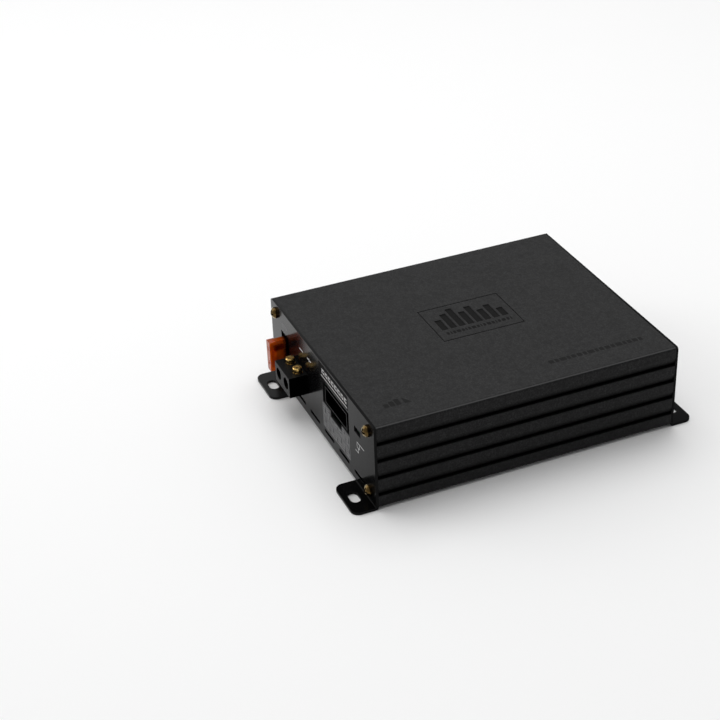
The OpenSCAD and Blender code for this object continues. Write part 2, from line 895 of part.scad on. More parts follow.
module crystal() {
    color("#b4b6b8") translate([62, -64, dsp_top]) rotate([0, 0, 90]) round_plate(8, 3.6, 1.7, 3.2);
}

// ---------- power supply ----------

module input_choke_core() {
    color("#5a6a50") translate([choke_at[0], choke_at[1], board_top + 2.2]) difference() {
        cylinder(r = 14, h = 11);
        translate([0, 0, -cut]) cylinder(r = 8, h = 11 + 2 * cut);
    }
}

// Turns of thick wire, each a closed loop around the ring's section
module input_choke_winding() {
    turns = 16;
    wire = 1.8;
    color("#b06a2c") translate([choke_at[0], choke_at[1], board_top]) for (i = [0:turns - 1]) {
        rotate([0, 0, i * 330 / turns]) translate([0, -wire / 2, 0]) difference() {
            translate([6.1, 0, 0.2]) cube([9.8, wire, 15]);
            translate([7.9, -cut, 2.1]) cube([6.2, wire + 2 * cut, 11.2]);
        }
    }
}

// Electrolytic can with its rolled top edge
module can(r, h) {
    rim = 0.8;
    cylinder(r = r, h = h - rim);
    translate([0, 0, h - rim]) cylinder(r1 = r, r2 = r - rim, h = rim);
}

module supply_capacitors() {
    color("#26282e") for (p = supply_can_at) {
        translate([p[0], p[1], board_top]) can(8, 26);
    }
}

module rail_capacitors() {
    color("#26282e") for (p = rail_can_at) {
        translate([p[0], p[1], board_top]) can(6.3, 22);
    }
}

module transformer_core() {
    w = 34;
    d = 12;
    h = 26;
    color("#4a4c50") translate([transformer_at[0], transformer_at[1], board_top + 1]) difference() {
        translate([-w / 2, -d / 2, 0]) cube([w, d, h]);
        for (s = [-1, 1]) {
            translate([s * 9.5 - 3.5, -d, 5]) cube([7, 2 * d, h - 10]);
        }
    }
}

// Coil former and winding around the core's middle leg
module transformer_winding() {
    leg = 12;
    color("#b8872f") translate([transformer_at[0], transformer_at[1], board_top + 6.2]) difference() {
        round_plate(leg + 13, 28, 5, 15.6);
        translate([-leg / 2 - 0.05, -6.05, -cut]) cube([leg + 0.1, 12.1, 20]);
    }
}

module rail_chokes() {
    color("#3c3e42") for (p = rail_choke_at) {
        translate([p[0], p[1], board_top]) {
            cylinder(r = 9, h = 2);
            translate([0, 0, 2]) cylinder(r = 7.5, h = 12);
            translate([0, 0, 14]) cylinder(r = 9, h = 2);
        }
    }
}

module supply_transistors() {
    x = -inner_x + pad_gap;
    color("#1d1d20") for (y = transistor_y) {
        block([x, y - 5, transistor_z], [x + transistor_t, y + 5, transistor_z + 16]);
    }
}

module transistor_leads() {
    color("#b8b8b0") transistor_rods(transistor_lead_r, lead_end, transistor_z);
}

module amp_modules() {
    x = inner_x - pad_gap;
    color("#1d1d20") for (y = module_y) {
        block([x - module_t, y - 15, module_z], [x, y + 15, module_z + 17]);
    }
}

module amp_module_leads() {
    color("#b8b8b0") module_rods(module_lead_r, lead_end, module_z);
}

module thermal_pads() {
    color("#8f9aa5") {
        difference() {
            block([-inner_x, -52, 19], [-inner_x + pad_gap, 52, 37]);
            for (y = left_bar_screw_y) {
                bar_x([-inner_x - cut, y, device_z], m3_hole, 3 * cut);
            }
        }
        difference() {
            block([inner_x - pad_gap, -10, 17], [inner_x, 70, 36]);
            for (y = right_bar_screw_y) {
                bar_x([inner_x + cut, y, device_z], m3_hole, 3 * cut, -1);
            }
        }
    }
}

// Spring bars that press the power devices against the side walls
module clamp_bars() {
    left_x = -inner_x + pad_gap + transistor_t;
    right_x = inner_x - pad_gap - module_t;
    color("#9ea0a3") {
        difference() {
            block([left_x, -52, device_z - bar_h / 2], [left_x + bar_t, 52, device_z + bar_h / 2]);
            for (y = left_bar_screw_y) {
                bar_x([left_x - cut, y, device_z], m3_hole, bar_t + 2 * cut);
            }
        }
        difference() {
            block([right_x - bar_t, -17, device_z - bar_h / 2], [right_x, 77, device_z + bar_h / 2]);
            for (y = right_bar_screw_y) {
                bar_x([right_x - bar_t - cut, y, device_z], m3_hole, bar_t + 2 * cut);
            }
        }
    }
}

module clamp_bar_screws() {
    left_x = -inner_x + pad_gap + transistor_t + bar_t;
    right_x = inner_x - pad_gap - module_t - bar_t;
    reach = pad_gap + bar_t + bar_hole_deep - 0.4;
    color("#a9abad") {
        for (y = left_bar_screw_y) {
            translate([left_x, y, device_z]) rotate([0, 90, 0]) {
                small_screw(m3_head_r, m3_head_h, m3_r, transistor_t + reach);
            }
        }
        for (y = right_bar_screw_y) {
            translate([right_x, y, device_z]) rotate([0, -90, 0]) {
                small_screw(m3_head_r, m3_head_h, m3_r, module_t + reach);
            }
        }
    }
}

module output_inductors() {
    color("#3c3e42") for (p = inductor_at) {
        translate([p[0], p[1], board_top]) round_plate(15, 15, 2, 12);
    }
}

module film_capacitors() {
    color("#a03024") for (p = film_at) {
        translate([p[0], p[1], board_top]) round_plate(7.2, 5, 0.8, 9);
    }
}

module small_parts() {
    color("#2a2a2c") {
        for (i = [0:8]) {
            for (j = [0:3]) {
                translate([2 + i * 5, -14 + j * 5, board_top]) cube([2, 1.2, 0.6]);
            }
        }
        for (i = [0:8]) {
            translate([8 + i * 3.5, -46, signal_top]) cube([2, 1.2, 0.6]);
            translate([8 + i * 3.5, -40, signal_top]) cube([1.2, 2, 0.9]);
        }
        block([-4, -6, board_top], [0, -2, board_top + 1]);
    }
}

// ---------- rear sockets ----------

function line_at(s) = line_x + s * line_pitch / 2;

module line_out_block() {
    out_y = rear_y + line_out;
    color("#18181a") difference() {
        union() {
            block([line_x - 13, rear_y - 15, board_top], [line_x + 13, rear_y - sheet_t, 33]);
            for (s = [-1, 1]) {
                bar_y([line_at(s), rear_y + 0.8, line_z], line_collar_r, 5);
                bar_y([line_at(s), out_y - 0.6, line_z], line_core_r, line_out);
            }
        }
        for (s = [-1, 1]) {
            bar_y([line_at(s), out_y + cut, line_z], line_bore_r, line_out + 10);
            difference() {
                bar_y([line_at(s), out_y, line_z], line_sleeve_r + 0.02, line_out + 4);
                bar_y([line_at(s), out_y + cut, line_z], line_core_r, line_out + 10);
            }
        }
    }
}

module line_out_sleeves() {
    out_y = rear_y + line_out;
    color("#c8a24a") for (s = [-1, 1]) {
        difference() {
            bar_y([line_at(s), out_y, line_z], line_sleeve_r, line_out + 3.5);
            bar_y([line_at(s), out_y + cut, line_z], line_core_r + run, line_out + 10);
        }
    }
}

module line_out_contacts() {
    tip_y = rear_y + line_out - 1.5;
    color("#c8a24a") for (s = [-1, 1]) {
        difference() {
            bar_y([line_at(s), tip_y, line_z], line_bore_r - run, line_out + 6);
            bar_y([line_at(s), tip_y + cut, line_z], line_contact_r, line_out);
        }
    }
}

module optical_socket() {
    face = optical_face;
    x0 = optical_x - optical_w / 2;
    color("#18181a") difference() {
        block([x0, face - optical_depth, board_top], [x0 + optical_w, face, board_top + optical_h]);
        block([optical_x - aperture / 2, face - 10, optical_mid - aperture / 2],
            [optical_x + aperture / 2, face + cut, optical_mid + aperture / 2]);
        bar_x([optical_x - 4, hinge_y, hinge_z], hinge_r + run, 8);
    }
}

// Dust shutter with its hinge pin in one piece
module optical_shutter() {
    w = aperture - 2 * gap;
    color("#2c2c30") difference() {
        union() {
            block([optical_x - w / 2, hinge_y - 0.4, optical_mid - w / 2],
                [optical_x + w / 2, hinge_y + 0.4, hinge_z]);
            bar_x([optical_x - 3.9, hinge_y, hinge_z], hinge_r, 7.8);
        }
        difference() {
            block([optical_x - w / 2 - 0.1, hinge_y - 2, hinge_z - 1.3],
                [optical_x - w / 2 + 1.6, hinge_y + 2, hinge_z + 1]);
            bar_x([optical_x - 4, hinge_y, hinge_z], hinge_r, 8);
        }
    }
}

// Small coil around the hinge pin that closes the shutter
module shutter_spring() {
    x0 = optical_x - (aperture - 2 * gap) / 2 + 0.2;
    color("#b4b6b8") translate([x0, hinge_y, hinge_z]) rotate([0, 90, 0]) difference() {
        cylinder(r = 0.8, h = 1.1);
        translate([0, 0, -cut]) cylinder(r = 0.5, h = 4);
    }
}

module remote_socket() {
    color("#1b1b1d") difference() {
        block([remote_x - remote_w / 2, rear_y - 16, board_top],
            [remote_x + remote_w / 2, optical_face, board_top + remote_h]);
        block([remote_x - 4.9, rear_y - 12, board_top + 3],
            [remote_x + 4.9, rear_y + cut, board_top + 10]);
        block([remote_x - 1.6, rear_y - 12, board_top + 9],
            [remote_x + 1.6, rear_y + cut, board_top + 11.8]);
    }
}

module module_socket() {
    color("#1b1b1d") difference() {
        block([module_x - module_w / 2, rear_y - 14, board_top],
            [module_x + module_w / 2, optical_face, board_top + module_h]);
        block([module_x - 5.6, rear_y - 10, board_top + 2], [module_x + 5.6, rear_y + cut, board_top + 9]);
    }
}

module rear_contacts() {
    color("#c6b37a") {
        for (i = [0:3]) {
            x = remote_x + (i - 1.5) * 1.27;
            block([x - 0.25, rear_y - 12, board_top + 3], [x + 0.25, rear_y - 6, board_top + 3.5]);
        }
        for (i = [0:2]) {
            for (z = [4.2, 6.8]) {
                x = module_x + (i - 1) * 2.54;
                block([x - 0.4, rear_y - 10, board_top + z - 0.4],
                    [x + 0.4, rear_y - 6, board_top + z + 0.4]);
            }
        }
    }
}

module status_light() {
    color([0.75, 0.8, 0.85, 0.8]) {
        bar_y([light_x, rear_y + 0.6, light_z], light_r, 8);
        block([light_x - 2, rear_y - 10.4, board_top], [light_x + 2, rear_y - 7.4, light_z + 2]);
    }
}

// ---------- one line per piece ----------

housing();
bottom_cover();
cover_screws();
front_panel();
rear_panel();
panel_screws();
terminal_block();
clamp_bodies();
clamp_screw_left();
clamp_screw_right();
clamp_pad_left();
clamp_pad_right();
fuse_holder();
fuse_clips();
fuse_body();
fuse_link();
harness_socket();
harness_pins();
usb_shell();
usb_tongue();
main_board();
board_screws();
standoffs();
insulating_sheet();
signal_board();
spacers();
spacer_screws();
board_link();
dsp_board();
dsp_connectors();
dsp_chip();
crystal();
input_choke_core();
input_choke_winding();
supply_capacitors();
rail_capacitors();
transformer_core();
transformer_winding();
rail_chokes();
supply_transistors();
transistor_leads();
amp_modules();
amp_module_leads();
thermal_pads();
clamp_bars();
clamp_bar_screws();
output_inductors();
film_capacitors();
small_parts();
line_out_block();
line_out_sleeves();
line_out_contacts();
optical_socket();
optical_shutter();
shutter_spring();
remote_socket();
module_socket();
rear_contacts();
status_light();
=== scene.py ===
"""Looks of a compact car amplifier: materials, printed marks, threads and light."""

import json
import math

import bmesh
import bpy
from mathutils import Matrix, Vector


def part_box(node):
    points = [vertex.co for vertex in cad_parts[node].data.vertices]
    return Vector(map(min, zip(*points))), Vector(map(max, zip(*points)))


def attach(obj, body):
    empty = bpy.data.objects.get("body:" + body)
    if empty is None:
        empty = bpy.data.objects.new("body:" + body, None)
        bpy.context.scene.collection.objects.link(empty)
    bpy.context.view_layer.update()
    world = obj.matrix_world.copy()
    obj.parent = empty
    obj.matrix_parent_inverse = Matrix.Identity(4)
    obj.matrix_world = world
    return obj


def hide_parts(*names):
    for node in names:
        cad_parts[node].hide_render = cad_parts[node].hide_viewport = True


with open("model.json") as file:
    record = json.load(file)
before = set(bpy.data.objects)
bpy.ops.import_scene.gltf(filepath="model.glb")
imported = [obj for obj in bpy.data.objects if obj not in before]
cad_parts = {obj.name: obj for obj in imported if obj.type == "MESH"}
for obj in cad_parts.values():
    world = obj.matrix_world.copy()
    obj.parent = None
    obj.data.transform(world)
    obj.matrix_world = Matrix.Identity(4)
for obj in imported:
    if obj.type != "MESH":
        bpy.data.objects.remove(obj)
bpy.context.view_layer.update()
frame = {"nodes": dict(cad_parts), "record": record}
NODES = frame["nodes"]
MM = 0.001

# azimuth, elevation and roll of the camera in degrees, its place in metres, lens and sensor in mm
VIEW_ANGLES = (68.29, 31.81, -2.38)
VIEW_PLACE = (0.7037, -0.3449, 0.5132)
LENS, SENSOR = 82.44, 36

# brightness of the room at level height, and its slope along X, Y and Z: dimmer on the right
ROOM_LEVEL = 0.55
ROOM_SLOPE = (-0.36, -0.1, 0.0)
FLOOR_RADIUS = 7

# painted shade: the colour that hollows and unlit walls are painted in
PAINTED_SHADE_BLACK = (0.0006, 0.0006, 0.0006)

# gap in millimetres between a panel's face and the ink on it
INK_GAP = 0.01


# ---------- camera, floor and light ----------

def aim_camera():
    """Camera at the photograph's place and viewing angle."""
    azimuth, elevation, roll = (math.radians(angle) for angle in VIEW_ANGLES)
    level = math.cos(elevation)
    forward = Vector((-math.sin(azimuth) * level, math.cos(azimuth) * level, -math.sin(elevation)))
    flat_right = forward.cross(Vector((0, 0, 1))).normalized()
    flat_up = flat_right.cross(forward)
    right = flat_right * math.cos(roll) + flat_up * math.sin(roll)
    up = flat_up * math.cos(roll) - flat_right * math.sin(roll)
    data = bpy.data.cameras.new("camera")
    data.sensor_width = SENSOR
    data.lens = LENS
    data.clip_start = 0.01
    camera = bpy.data.objects.new("camera", data)
    axes = Matrix((right, up, -forward)).transposed().to_4x4()
    camera.matrix_world = Matrix.Translation(VIEW_PLACE) @ axes
    bpy.context.collection.objects.link(camera)
    bpy.context.scene.camera = camera


def add_area(name, place, target, size, power):
    """Round soft box: size in metres, power in watts."""
    data = bpy.data.lights.new(name, "AREA")
    data.shape = "DISK"
    data.size = size
    data.energy = power
    lamp = bpy.data.objects.new(name, data)
    lamp.location = place
    lamp.rotation_euler = (Vector(target) - Vector(place)).to_track_quat("-Z", "Y").to_euler()
    bpy.context.collection.objects.link(lamp)


def build_studio():
    """Plain room with two soft boxes and a pale floor."""
    scene = bpy.context.scene
    scene.view_settings.view_transform = "Standard"
    world = bpy.data.worlds.new("studio")
    scene.world = world
    world.use_nodes = True
    tree = world.node_tree
    sky = tree.nodes["Background"]
    sky.inputs["Color"].default_value = (1, 1, 1, 1)
    towards = tree.nodes.new("ShaderNodeTexCoord")
    slope = tree.nodes.new("ShaderNodeVectorMath")
    slope.operation = "DOT_PRODUCT"
    slope.inputs[1].default_value = ROOM_SLOPE
    level = tree.nodes.new("ShaderNodeMath")
    level.inputs[1].default_value = ROOM_LEVEL
    tree.links.new(towards.outputs["Generated"], slope.inputs[0])
    tree.links.new(slope.outputs["Value"], level.inputs[0])
    tree.links.new(level.outputs[0], sky.inputs["Strength"])
    add_area("top_box", place=(-0.35, 0.15, 1.5), target=(0, 0, 0), size=1.6, power=13)
    add_area("left_box", place=(-0.9, -1.1, 0.6), target=(0, 0, 0.02), size=0.9, power=4)

    mesh = bpy.data.meshes.new("floor")
    bm = bmesh.new()
    bmesh.ops.create_circle(bm, cap_ends=True, radius=FLOOR_RADIUS, segments=96)
    bm.to_mesh(mesh)
    bm.free()
    floor = bpy.data.objects.new("floor", mesh)
    floor.location.z = -0.0001
    bpy.context.collection.objects.link(floor)
    paper = Surface("studio_paper", (0.94, 0.94, 0.94), 0.75)
    paper.vary(60 * MM, 0.02)
    floor.data.materials.append(paper.done())


# ---------- procedural materials ----------

class Surface:
    """A Principled material built up layer by layer in object space."""

    def __init__(
        self, name, base, roughness, metallic=0.0, specular=0.5, coat=0.0, transmission=0.0, ior=1.45
    ):
        self.mat = bpy.data.materials.new(name)
        self.mat.use_nodes = True
        self.tree = self.mat.node_tree
        self.shader = self.tree.nodes["Principled BSDF"]
        self.base = (*base, 1)
        self.roughness = roughness
        fixed = {
            "Base Color": self.base, "Roughness": roughness, "Metallic": metallic,
            "Specular IOR Level": specular, "Coat Weight": coat, "Coat Roughness": 0.15,
            "Transmission Weight": transmission, "IOR": ior,
        }
        for socket, value in fixed.items():
            self.shader.inputs[socket].default_value = value
        self.place = self.add("ShaderNodeTexCoord").outputs["Object"]
        self.colour = None
        self.rough = None
        self.normal = None
        self.edge = None

    def add(self, kind, **settings):
        node = self.tree.nodes.new(kind)
        for key, value in settings.items():
            setattr(node, key, value)
        return node

    def link(self, source, target):
        self.tree.links.new(source, target)

    def maths(self, operation, a, b=None, clamp=False):
        """Output of a Math node whose inputs are numbers or sockets."""
        node = self.add("ShaderNodeMath", operation=operation, use_clamp=clamp)
        for socket, value in zip(node.inputs, (a, b)):
            if isinstance(value, (int, float)):
                socket.default_value = value
            elif value is not None:
                self.link(value, socket)
        return node.outputs[0]

    def stretched(self, stretch):
        """Object coordinates scaled by stretch, so that a pattern can run along one axis."""
        node = self.add("ShaderNodeMapping")
        node.inputs["Scale"].default_value = stretch
        self.link(self.place, node.inputs["Vector"])
        return node.outputs[0]

    def noise(self, size, detail=3.0, stretch=None):
        node = self.add("ShaderNodeTexNoise")
        node.inputs["Scale"].default_value = 1 / size
        node.inputs["Detail"].default_value = detail
        self.link(self.stretched(stretch) if stretch else self.place, node.inputs["Vector"])
        return node.outputs[0]

    def cells(self, size, stretch=None):
        node = self.add("ShaderNodeTexVoronoi")
        node.inputs["Scale"].default_value = 1 / size
        self.link(self.stretched(stretch) if stretch else self.place, node.inputs["Vector"])
        return node.outputs["Distance"]

    def mix(self, share, colour, blend="MIX"):
        """Lays a colour over what is there, by a share from 0 to 1."""
        node = self.add("ShaderNodeMix", data_type="RGBA", blend_type=blend)
        self.link(share, node.inputs["Factor"])
        if self.colour is None:
            node.inputs["A"].default_value = self.base
        else:
            self.link(self.colour, node.inputs["A"])
        node.inputs["B"].default_value = (*colour, 1)
        self.colour = node.outputs["Result"]

    def shift_roughness(self, amount, by):
        """Adds amount x by to the roughness, where amount runs from -0.5 to 0.5 or is a mask."""
        start = self.roughness if self.rough is None else self.rough
        self.rough = self.maths("ADD", start, self.maths("MULTIPLY", amount, by), clamp=True)

    def vary(self, size, depth, rough=0.1, stretch=None):
        """Broad unevenness of colour and gloss."""
        patch = self.noise(size, 4.0, stretch)
        lift = self.maths("MULTIPLY", patch, min(1.0, depth * 4))
        lighter = tuple(min(1.0, c * (1 + depth * 4) + depth * 0.01) for c in self.base[:3])
        self.mix(lift, lighter)
        self.shift_roughness(self.maths("SUBTRACT", patch, 0.5), rough)
        return self

    def grain(self, size, height, stretch=None, cells=False, detail=2.0):
        """Fine relief of the surface, height in metres."""
        pattern = self.cells(size, stretch) if cells else self.noise(size, detail, stretch)
        bump = self.add("ShaderNodeBump")
        bump.inputs["Distance"].default_value = height
        bump.inputs["Strength"].default_value = 1.0
        self.link(pattern, bump.inputs["Height"])
        if self.normal is not None:
            self.link(self.normal, bump.inputs["Normal"])
        self.normal = bump.outputs["Normal"]
        return self

    def soft_edges(self, radius):
        """Rounds sharp edges in shading, and keeps the mask of where they are."""
        bevel = self.add("ShaderNodeBevel", samples=6)
        bevel.inputs["Radius"].default_value = radius
        self.normal = bevel.outputs["Normal"]
        real = self.add("ShaderNodeNewGeometry").outputs["Normal"]
        dot = self.add("ShaderNodeVectorMath", operation="DOT_PRODUCT")
        self.link(bevel.outputs["Normal"], dot.inputs[0])
        self.link(real, dot.inputs[1])
        turned = self.maths("SUBTRACT", 1.0, dot.outputs["Value"])
        self.edge = self.maths("MULTIPLY", turned, 4.0, clamp=True)
        return self

    def worn_edges(self, colour, strength, size=0.8 * MM):
        """Lightens edges, broken up by noise."""
        broken = self.maths("MULTIPLY", self.edge, self.noise(size, 2.0))
        self.mix(self.maths("MULTIPLY", broken, strength, clamp=True), colour)
        return self

    def specks(self, size, cover, colour):
        """Scattered dots: cover is the share of each cell that a dot fills."""
        dots = self.maths("LESS_THAN", self.cells(size), cover)
        self.mix(self.maths("MULTIPLY", dots, 0.6), colour)
        return self

    def mottle(self, size, colour, strength):
        """Fine blotches whose contrast is stronger than plain noise."""
        raised = self.maths("SUBTRACT", self.noise(size, 2.0), 0.4)
        blotch = self.maths("MULTIPLY", raised, 3.4, clamp=True)
        self.mix(self.maths("MULTIPLY", blotch, strength), colour)
        return self

    def split(self, vector):
        parts = self.add("ShaderNodeSeparateXYZ")
        self.link(vector, parts.inputs[0])
        return parts.outputs

    def position(self):
        """Object coordinates, split into X, Y and Z."""
        return self.split(self.place)

    def facing(self):
        """The face normal, split into X, Y and Z."""
        return self.split(self.add("ShaderNodeNewGeometry").outputs["Normal"])

    def set_specular(self, change, start):
        """Specular level that starts from a value and is changed from place to place."""
        level = self.maths("ADD", change, start, clamp=True)
        self.link(level, self.shader.inputs["Specular IOR Level"])
        return self

    def done(self):
        """Connects what was built to the shader, and gives the material."""
        if self.colour is not None:
            self.link(self.colour, self.shader.inputs["Base Color"])
        if self.rough is not None:
            self.link(self.rough, self.shader.inputs["Roughness"])
        if self.normal is not None:
            self.link(self.normal, self.shader.inputs["Normal"])
        return self.mat


def housing_coat():
    """Fine matt coat on top, and a smoother one down the grooved sides, which painted shade makes
    darker.
    """
    s = Surface("housing_coat", (0.0148, 0.0148, 0.0151), 0.6, specular=0.135)
    s.soft_edges(0.6 * MM)
    upright = s.facing()["Z"]
    side = s.maths("LESS_THAN", upright, 0.55)
    # painted shade: faces that are not upright are painted darker than the top, as less light falls
    # on them
    s.mix(side, (0.0105, 0.0105, 0.0108))
    s.shift_roughness(side, -0.12)
    s.mix(s.maths("MULTIPLY", s.noise(26 * MM, 4.0), 0.2), (0.021, 0.021, 0.0215))
    s.mottle(0.9 * MM, (0.032, 0.032, 0.0325), 0.7)
    s.mottle(2.6 * MM, (0.0075, 0.0075, 0.0078), 0.5)
    s.shift_roughness(s.maths("SUBTRACT", s.noise(9 * MM), 0.5), 0.12)
    s.worn_edges((0.034, 0.034, 0.035), 0.6)
    # painted shade: the roof of each groove is painted darker evenly with height, down to its back
    # wall and lip, as shade falls in the recess
    top_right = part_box("housing")[1]
    groove_deep, top_band, skin = 1.6 * MM, 4 * MM, 0.03 * MM
    place = s.position()
    sunk = s.maths("SUBTRACT", top_right.x - skin, s.maths("ABSOLUTE", place["X"]))
    below_band = s.maths("LESS_THAN", place["Z"], top_right.z - top_band)
    share = s.maths("MULTIPLY", sunk, 1 / groove_deep, clamp=True)
    groove_shade = s.maths("MULTIPLY", s.maths("POWER", share, 0.55), below_band)
    s.mix(groove_shade, PAINTED_SHADE_BLACK)
    # painted highlight: the rounded top edge is painted lighter
    turned = s.maths("ABSOLUTE", s.maths("SUBTRACT", upright, 0.8))
    rim = s.maths("SUBTRACT", 1.0, s.maths("MULTIPLY", turned, 6.0), clamp=True)
    s.mix(s.maths("MULTIPLY", rim, 0.85), (0.085, 0.085, 0.086))
    duller = s.maths("ADD", s.maths("MULTIPLY", side, 0.04), s.maths("MULTIPLY", groove_shade, 0.1))
    s.set_specular(s.maths("MULTIPLY", duller, -1.0), 0.135)
    s.grain(0.45 * MM, 0.05 * MM)
    s.grain(0.16 * MM, 0.014 * MM)
    return s.done()


def panel_coat():
    """Smooth semi-gloss coat that mirrors what stands before it, with duller sheared edges."""
    s = Surface("panel_coat", (0.0022, 0.0022, 0.0024), 0.18, specular=0.18)
    s.soft_edges(0.25 * MM)
    s.vary(18 * MM, 0.06, 0.05)
    lo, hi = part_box("front_panel")
    above_feet = 10 * MM
    place, normal = s.position(), s.facing()
    across = s.maths("ADD", s.maths("MULTIPLY", place["X"], 1 / (hi.x - lo.x)), 0.5, clamp=True)
    upward = s.maths("GREATER_THAN", normal["Z"], 0.5)
    high = s.maths("GREATER_THAN", place["Z"], above_feet)
    end = s.maths("GREATER_THAN", s.maths("ABSOLUTE", normal["X"]), 0.5)
    sheared = s.maths("MAXIMUM", s.maths("MULTIPLY", upward, high), end)
    s.mix(sheared, (0.013, 0.013, 0.0132))
    s.shift_roughness(sheared, 0.35)
    duller = s.maths("MULTIPLY", sheared, -0.08)
    # painted reflection: the specular level falls from left to right across the panel, so what it
    # mirrors fades towards its right end
    s.set_specular(s.maths("ADD", s.maths("MULTIPLY", across, -0.145), duller), 0.18)
    s.worn_edges((0.03, 0.03, 0.032), 0.45)
    s.specks(1.6 * MM, 0.05, (0.009, 0.009, 0.0095))
    s.grain(1.1 * MM, 0.006 * MM)
    s.grain(0.35 * MM, 0.003 * MM)
    return s.done()


def plain_coat():
    """Satin coat of the bottom cover."""
    s = Surface("cover_coat", (0.011, 0.011, 0.0115), 0.5, specular=0.2)
    s.soft_edges(0.25 * MM).vary(14 * MM, 0.08).worn_edges((0.05, 0.05, 0.053), 0.6)
    return s.grain(0.5 * MM, 0.02 * MM).done()


def plated(name, base, roughness, streak=(1, 1, 1), wear=None, relief=0.004 * MM, painted_shade=None):
    """Metal with tool marks and uneven plating, and painted shade that may darken it towards its
    right and top.
    """
    s = Surface(name, base, roughness, metallic=1.0)
    s.soft_edges(0.18 * MM)
    dark = tuple(c * 0.62 for c in base)
    s.mix(s.maths("MULTIPLY", s.noise(2.2 * MM, 5.0), 0.45), dark)
    if wear:
        s.worn_edges(wear, 0.9, 0.5 * MM)
    if painted_shade:
        # painted shade: faces turned to the right and up are painted darker, as they mirror the
        # darker side of the room
        facing = s.facing()
        lean = s.maths("ADD", s.maths("MULTIPLY", facing["X"], 1.5), facing["Z"])
        s.mix(s.maths("MULTIPLY", s.maths("ADD", lean, 0.2, clamp=True), 0.9), painted_shade)
    s.shift_roughness(s.maths("SUBTRACT", s.noise(0.8 * MM), 0.5), 0.22)
    return s.grain(0.25 * MM, relief, streak).done()


def moulded(name, base, roughness, gloss=0.4, texture=0.02 * MM, edge=0.2 * MM, shaded_walls=None):
    """Moulded plastic: eroded texture, flow marks, rubbed edges and, where shaded walls are given,
    painted shade that turns those walls near black.
    """
    s = Surface(name, base, roughness, specular=gloss)
    s.soft_edges(edge)
    s.vary(5 * MM, 0.1, 0.12, stretch=(1, 0.4, 1))
    s.worn_edges(tuple(min(1.0, c * 2.4 + 0.006) for c in base), 0.5)
    if shaded_walls:
        # painted shade: the chosen walls are painted near black and lose their gloss
        walls = shaded_walls(s, s.facing())
        s.mix(walls, PAINTED_SHADE_BLACK)
        s.set_specular(s.maths("MULTIPLY", walls, -gloss), gloss)
    return s.grain(0.3 * MM, texture).done()


def right_walls(s, facing):
    """Mask of the walls that face the darker side of the room."""
    return s.maths("GREATER_THAN", facing["X"], 0.5)


def inner_walls(s, facing):
    """Mask of every wall that does not face the plug."""
    return s.maths("LESS_THAN", s.maths("ABSOLUTE", facing["Y"]), 0.5)


def circuit_board():
    """Green resist over tracks, with tinned pads and a scatter of holes."""
    s = Surface("circuit_board", (0.014, 0.09, 0.042), 0.38, specular=0.5)
    for direction in ((1, 0.12, 1), (0.12, 1, 1)):
        track = s.maths("GREATER_THAN", s.cells(2.4 * MM, direction), 0.62)
        s.mix(s.maths("MULTIPLY", track, 0.5), (0.03, 0.16, 0.07))
    pads = s.maths("LESS_THAN", s.cells(3.1 * MM), 0.16)
    s.mix(pads, (0.55, 0.55, 0.5))
    s.shift_roughness(pads, -0.12)
    s.vary(20 * MM, 0.08)
    return s.grain(2.4 * MM, 0.02 * MM, cells=True).done()


def wound_wire():
    """Enamelled copper turns."""
    s = Surface("enamelled_copper", (0.42, 0.13, 0.04), 0.28, metallic=0.7, coat=0.4)
    s.soft_edges(0.6 * MM)
    s.vary(3 * MM, 0.12)
    s.worn_edges((0.6, 0.25, 0.1), 0.4)
    return s.grain(0.6 * MM, 0.02 * MM).done()


def wound_tape():
    """Polyester tape in overlapping layers around a coil."""
    s = Surface("coil_tape", (0.36, 0.2, 0.035), 0.32, specular=0.55)
    s.soft_edges(0.4 * MM)
    s.mix(s.maths("MULTIPLY", s.noise(2.5 * MM, 2.0, (0.1, 0.1, 1)), 0.7), (0.16, 0.085, 0.02))
    s.vary(6 * MM, 0.1)
    return s.grain(1.4 * MM, 0.06 * MM, (0.1, 0.1, 1)).done()


def ferrite():
    """Sintered grey cores, with grains and chipped edges."""
    s = Surface("ferrite", (0.055, 0.058, 0.062), 0.62)
    s.soft_edges(0.3 * MM).vary(4 * MM, 0.15).specks(0.7 * MM, 0.2, (0.11, 0.11, 0.115))
    s.worn_edges((0.16, 0.16, 0.165), 0.7)
    return s.grain(0.4 * MM, 0.04 * MM).done()


def sleeve():
    """Shrunk sleeve with a pale stripe of wrinkles near its ends."""
    s = Surface("capacitor_sleeve", (0.012, 0.016, 0.028), 0.3, specular=0.55, coat=0.2)
    s.soft_edges(0.4 * MM).vary(7 * MM, 0.12)
    s.grain(1.2 * MM, 0.02 * MM, (1, 1, 0.2))
    return s.worn_edges((0.1, 0.11, 0.14), 0.5).done()


def clear_plastic(name, base, roughness, share, tint, specular=0.3):
    """Clear tinted plastic with faint flow lines."""
    s = Surface(name, base, roughness, transmission=share, ior=1.5, specular=specular)
    s.soft_edges(0.25 * MM)
    s.mix(s.maths("MULTIPLY", s.noise(3.5 * MM, 3.0, (1, 0.5, 1)), 0.55), tint)
    s.shift_roughness(s.maths("SUBTRACT", s.noise(1.5 * MM), 0.5), 0.14)
    return s


